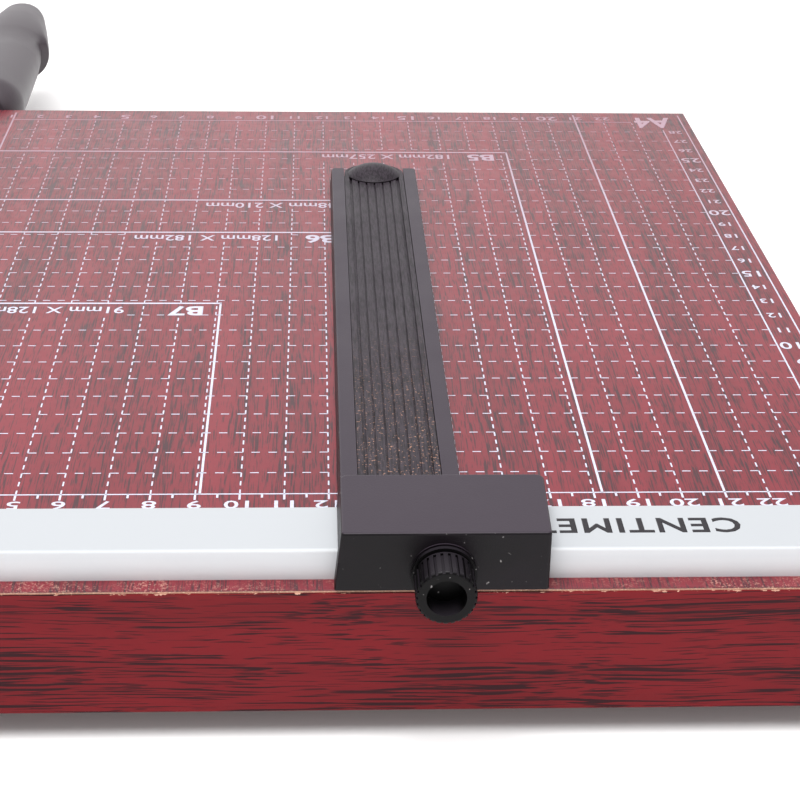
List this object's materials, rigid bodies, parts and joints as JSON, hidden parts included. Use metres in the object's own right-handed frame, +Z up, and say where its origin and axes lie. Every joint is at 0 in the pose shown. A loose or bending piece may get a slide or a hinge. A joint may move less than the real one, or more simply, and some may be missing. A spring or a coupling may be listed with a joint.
{
  "type": "guillotine paper cutter",
  "caption": "Desktop guillotine paper cutter: wood-print board with a centimetre grid, swinging blade arm with grip, white fence and a sliding side gauge with a clamp knob.",
  "frame": {"origin": "middle of the whole cutter's footprint, on the surface that its feet stand on", "axes": "+Z up; +Y along the cut from the user's handle end to the fence and pivot end; +X across the board towards the blade side"},
  "size_m": [0.2902, 0.47, 0.0507],
  "materials": {
    "mdf": "raw fibreboard",
    "wood_print_top": "satin mahogany-print film with white scale print",
    "wood_print_edge": "satin mahogany-print film",
    "backing_film": "matt backing film",
    "black_rubber": "matt",
    "knife_steel": "ground, lightly oiled",
    "zinc_plate": "zinc plated sheet",
    "zinc_screw": "zinc plated",
    "spring_steel": "oiled spring wire",
    "white_plastic": "satin moulded",
    "arm_paint": "black hammered paint on a casting",
    "bronze": "turned",
    "grip_plastic": "soft matt moulded grip",
    "black_plastic": "satin moulded",
    "nylon": "natural nylon"
  },
  "bodies": {
    "board": {"base_core": "mdf", "top_film": "wood_print_top", "bottom_film": "backing_film", "back_edge_band": "wood_print_edge", "front_edge_band": "wood_print_edge", "side_edge_band": "wood_print_edge", "cut_side_edge_band": "wood_print_edge", "rubber_feet": "black_rubber", "foot_screws": "zinc_screw", "bed_knife": "knife_steel", "bed_knife_screws": "zinc_screw", "stop_bracket": "zinc_plate", "stop_bracket_screws": "zinc_screw", "stop_bumper": "black_rubber", "pivot_block": "zinc_plate", "pivot_bolt": "zinc_screw", "thrust_washer": "zinc_plate", "disc_springs": "spring_steel", "spring_washer": "zinc_plate", "pivot_nut": "zinc_screw", "fence": "white_plastic", "fence_screws": "zinc_screw", "latch_screw": "zinc_screw"},
    "cutter_arm": {"blade_arm": "arm_paint", "blade": "knife_steel", "blade_screws": "zinc_screw", "blade_nuts": "zinc_screw", "pivot_bush": "bronze", "spring_seat": "zinc_plate", "handle_grip": "grip_plastic", "grip_bolt": "zinc_screw", "grip_nut": "zinc_screw"},
    "gauge": {"gauge_head": "black_plastic", "gauge_arm": "black_plastic", "gauge_arm_screws": "zinc_screw", "clamp_insert": "bronze"},
    "gauge_extension": {"gauge_slider": "black_plastic"},
    "clamp_pusher": {"clamp_pad": "nylon"},
    "clamp_screw": {"clamp_knob": "black_plastic", "clamp_stud": "zinc_screw"},
    "latch": {"safety_latch": "zinc_plate"}
  },
  "joints": [
    {"name": "arm_swing", "type": "hinge", "parent": "board", "child": "cutter_arm", "pos_m": [0.11475, 0.21427, 0.025], "axis": [-1, 0, 0], "range_deg": [0, 65]},
    {"name": "gauge_travel", "type": "slide", "parent": "board", "child": "gauge", "axis": [1, 0, 0], "range_m": [-0.0819, 0.1112]},
    {"name": "extension_travel", "type": "slide", "parent": "gauge", "child": "gauge_extension", "axis": [0, -1, 0], "range_m": [0, 0.07]},
    {"name": "clamp_advance", "type": "slide", "parent": "gauge", "child": "clamp_pusher", "axis": [0, 1, 0], "range_m": [0, 0.0012]},
    {"name": "clamp_turn", "type": "hinge", "parent": "clamp_pusher", "child": "clamp_screw", "pos_m": [-0.0373, 0.22507, 0.0413], "axis": [0, 1, 0], "range_deg": [0, 540]},
    {"name": "latch_swing", "type": "hinge", "parent": "board", "child": "latch", "pos_m": [0.09595, -0.09948, 0.0275], "axis": [0, 1, 0], "range_deg": [0, 180]}
  ],
  "couplings": [
    {"joint": "clamp_turn", "follows": "clamp_advance", "rad_per_m": 7854}
  ]
}
